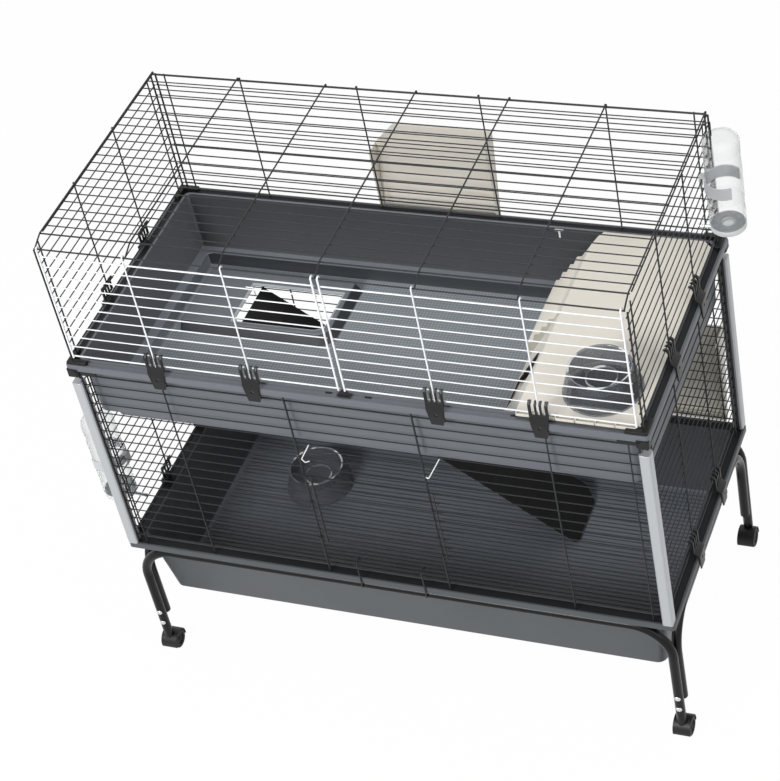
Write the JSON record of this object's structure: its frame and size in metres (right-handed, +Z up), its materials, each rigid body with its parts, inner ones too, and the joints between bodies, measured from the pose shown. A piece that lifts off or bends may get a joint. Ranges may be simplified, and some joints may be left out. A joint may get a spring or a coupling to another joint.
{
  "type": "rabbit cage",
  "caption": "Multi-level rabbit cage of welded wire panels and moulded trays on a castored tube stand, with ramp, corner house, hay racks, bowls and bottles.",
  "frame": {"origin": "on the floor, below the middle of the whole cage's outline", "axes": "+X to the right seen from the doors, +Y to the back, +Z up"},
  "size_m": [1.301, 0.6176, 1.145],
  "materials": {
    "stand_enamel": "black enamel, satin",
    "castor_plastic": "moulded black",
    "lower_tray_plastic": "moulded dark grey, fine texture",
    "upper_tray_plastic": "moulded grey, fine texture",
    "ramp_board": "black, grained",
    "post_metal": "satin silver",
    "clip_plastic": "dark grey",
    "dark_wire": "black enamel",
    "white_wire": "white enamel",
    "beige_plastic": "warm white, smooth",
    "clear_plastic": "clear, slightly grey",
    "grey_fitting": "pale grey"
  },
  "bodies": {
    "frame": {"stand_rail_front": "stand_enamel", "stand_rail_back": "stand_enamel", "stand_rail_left": "stand_enamel", "stand_rail_right": "stand_enamel", "lower_tray": "lower_tray_plastic", "upper_tray": "upper_tray_plastic", "corner_post_front_left": "post_metal", "corner_connector_front_left": "clip_plastic", "corner_post_front_right": "post_metal", "corner_connector_front_right": "clip_plastic", "corner_post_back_left": "post_metal", "corner_connector_back_left": "clip_plastic", "corner_post_back_right": "post_metal", "corner_connector_back_right": "clip_plastic", "lower_panel_front": "dark_wire", "lower_panel_back": "dark_wire", "lower_panel_left": "dark_wire", "lower_panel_right": "dark_wire", "upper_panel_back": "dark_wire", "upper_panel_left": "dark_wire", "upper_panel_right": "dark_wire", "roof_panel": "dark_wire", "house": "beige_plastic", "hay_rack_upper": "beige_plastic", "hay_rack_lower": "beige_plastic", "bottle_cradle_upper": "grey_fitting", "bottle_cradle_lower": "grey_fitting", "rim_hook_1": "dark_wire", "rim_hook_2": "dark_wire", "middle_foot": "clip_plastic"},
    "caster_front_left": {"caster_hood_front_left": "castor_plastic"},
    "wheels_front_left": {"caster_wheels_front_left": "castor_plastic"},
    "caster_front_right": {"caster_hood_front_right": "castor_plastic"},
    "wheels_front_right": {"caster_wheels_front_right": "castor_plastic"},
    "caster_back_left": {"caster_hood_back_left": "castor_plastic"},
    "wheels_back_left": {"caster_wheels_back_left": "castor_plastic"},
    "caster_back_right": {"caster_hood_back_right": "castor_plastic"},
    "wheels_back_right": {"caster_wheels_back_right": "castor_plastic"},
    "door_left": {"door_left": "white_wire"},
    "door_right": {"door_right": "white_wire"},
    "front_clip_1": {"front_clip_1": "clip_plastic"},
    "front_clip_2": {"front_clip_2": "clip_plastic"},
    "front_clip_3": {"front_clip_3": "clip_plastic"},
    "front_clip_4": {"front_clip_4": "clip_plastic"},
    "upper_clip_left_front": {"upper_clip_left_front": "clip_plastic"},
    "upper_clip_left_back": {"upper_clip_left_back": "clip_plastic"},
    "upper_clip_right_front": {"upper_clip_right_front": "clip_plastic"},
    "upper_clip_right_back": {"upper_clip_right_back": "clip_plastic"},
    "lower_clip_left_front": {"lower_clip_left_front": "clip_plastic"},
    "lower_clip_left_back": {"lower_clip_left_back": "clip_plastic"},
    "lower_clip_right_front": {"lower_clip_right_front": "clip_plastic"},
    "lower_clip_right_back": {"lower_clip_right_back": "clip_plastic"},
    "lower_door": {"lower_door": "dark_wire"},
    "ramp": {"ramp": "ramp_board"},
    "bowl_house": {"bowl_house": "clear_plastic"},
    "bowl_floor": {"bowl_floor": "clear_plastic"},
    "bottle_upper": {"bottle_upper": "clear_plastic", "bottle_cap_upper": "grey_fitting"},
    "bottle_lower": {"bottle_lower": "clear_plastic", "bottle_cap_lower": "grey_fitting"}
  },
  "joints": [
    {"name": "caster_swivel_front_left", "type": "hinge", "parent": "frame", "child": "caster_front_left", "pos_m": [-0.575, -0.29465, 0.03], "axis": [0, 0, 1], "continuous": true},
    {"name": "wheel_roll_front_left", "type": "hinge", "parent": "caster_front_left", "child": "wheels_front_left", "pos_m": [-0.575, -0.28465, 0.0205], "axis": [1, 0, 0], "continuous": true},
    {"name": "caster_swivel_front_right", "type": "hinge", "parent": "frame", "child": "caster_front_right", "pos_m": [0.575, -0.29465, 0.03], "axis": [0, 0, 1], "continuous": true},
    {"name": "wheel_roll_front_right", "type": "hinge", "parent": "caster_front_right", "child": "wheels_front_right", "pos_m": [0.575, -0.28465, 0.0205], "axis": [1, 0, 0], "continuous": true},
    {"name": "caster_swivel_back_left", "type": "hinge", "parent": "frame", "child": "caster_back_left", "pos_m": [-0.575, 0.25335, 0.03], "axis": [0, 0, 1], "continuous": true},
    {"name": "wheel_roll_back_left", "type": "hinge", "parent": "caster_back_left", "child": "wheels_back_left", "pos_m": [-0.575, 0.24335, 0.0205], "axis": [1, 0, 0], "continuous": true},
    {"name": "caster_swivel_back_right", "type": "hinge", "parent": "frame", "child": "caster_back_right", "pos_m": [0.575, 0.25335, 0.03], "axis": [0, 0, 1], "continuous": true},
    {"name": "wheel_roll_back_right", "type": "hinge", "parent": "caster_back_right", "child": "wheels_back_right", "pos_m": [0.575, 0.24335, 0.0205], "axis": [1, 0, 0], "continuous": true},
    {"name": "door_swing_left", "type": "hinge", "parent": "frame", "child": "door_left", "pos_m": [-0.287, -0.29365, 1.129], "axis": [-1, 0, 0], "range_deg": [0, 150]},
    {"name": "door_swing_right", "type": "hinge", "parent": "frame", "child": "door_right", "pos_m": [0.287, -0.29365, 1.129], "axis": [-1, 0, 0], "range_deg": [0, 150]},
    {"name": "front_clip_turn_1", "type": "hinge", "parent": "door_left", "child": "front_clip_1", "pos_m": [-0.387, -0.29465, 0.887], "axis": [-1, 0, 0], "range_deg": [0, 70]},
    {"name": "front_clip_turn_2", "type": "hinge", "parent": "door_left", "child": "front_clip_2", "pos_m": [-0.186, -0.29465, 0.887], "axis": [-1, 0, 0], "range_deg": [0, 70]},
    {"name": "front_clip_turn_3", "type": "hinge", "parent": "door_right", "child": "front_clip_3", "pos_m": [0.186, -0.29465, 0.887], "axis": [-1, 0, 0], "range_deg": [0, 70]},
    {"name": "front_clip_turn_4", "type": "hinge", "parent": "door_right", "child": "front_clip_4", "pos_m": [0.387, -0.29465, 0.887], "axis": [-1, 0, 0], "range_deg": [0, 70]},
    {"name": "upper_clip_left_front_turn", "type": "hinge", "parent": "frame", "child": "upper_clip_left_front", "pos_m": [-0.575, -0.10865, 0.887], "axis": [0, 1, 0], "range_deg": [0, 70]},
    {"name": "upper_clip_left_back_turn", "type": "hinge", "parent": "frame", "child": "upper_clip_left_back", "pos_m": [-0.575, 0.06735, 0.887], "axis": [0, 1, 0], "range_deg": [0, 70]},
    {"name": "upper_clip_right_front_turn", "type": "hinge", "parent": "frame", "child": "upper_clip_right_front", "pos_m": [0.575, -0.10865, 0.887], "axis": [0, -1, 0], "range_deg": [0, 70]},
    {"name": "upper_clip_right_back_turn", "type": "hinge", "parent": "frame", "child": "upper_clip_right_back", "pos_m": [0.575, 0.06735, 0.887], "axis": [0, -1, 0], "range_deg": [0, 70]},
    {"name": "lower_clip_left_front_turn", "type": "hinge", "parent": "frame", "child": "lower_clip_left_front", "pos_m": [-0.575, -0.10865, 0.385], "axis": [0, 1, 0], "range_deg": [0, 70]},
    {"name": "lower_clip_left_back_turn", "type": "hinge", "parent": "frame", "child": "lower_clip_left_back", "pos_m": [-0.575, 0.06735, 0.385], "axis": [0, 1, 0], "range_deg": [0, 70]},
    {"name": "lower_clip_right_front_turn", "type": "hinge", "parent": "frame", "child": "lower_clip_right_front", "pos_m": [0.575, -0.10865, 0.385], "axis": [0, -1, 0], "range_deg": [0, 70]},
    {"name": "lower_clip_right_back_turn", "type": "hinge", "parent": "frame", "child": "lower_clip_right_back", "pos_m": [0.575, 0.06735, 0.385], "axis": [0, -1, 0], "range_deg": [0, 70]},
    {"name": "lower_door_swing", "type": "hinge", "parent": "frame", "child": "lower_door", "pos_m": [-0.13, -0.29655, 0.51], "axis": [0, 0, -1], "range_deg": [0, 110]},
    {"name": "ramp_lift", "type": "hinge", "parent": "frame", "child": "ramp", "pos_m": [-0.4, 0.09335, 0.688], "axis": [0, -1, 0], "range_deg": [0, 30]},
    {"name": "bowl_house_lift", "type": "slide", "parent": "frame", "child": "bowl_house", "axis": [0, 0, 1], "range_m": [0, 0.06]},
    {"name": "bowl_floor_lift", "type": "slide", "parent": "frame", "child": "bowl_floor", "axis": [0, 0, 1], "range_m": [0, 0.1]},
    {"name": "bottle_pull_upper", "type": "slide", "parent": "frame", "child": "bottle_upper", "axis": [1, 0, 0], "range_m": [0, 0.08]},
    {"name": "bottle_pull_lower", "type": "slide", "parent": "frame", "child": "bottle_lower", "axis": [-1, 0, 0], "range_m": [0, 0.08]}
  ]
}
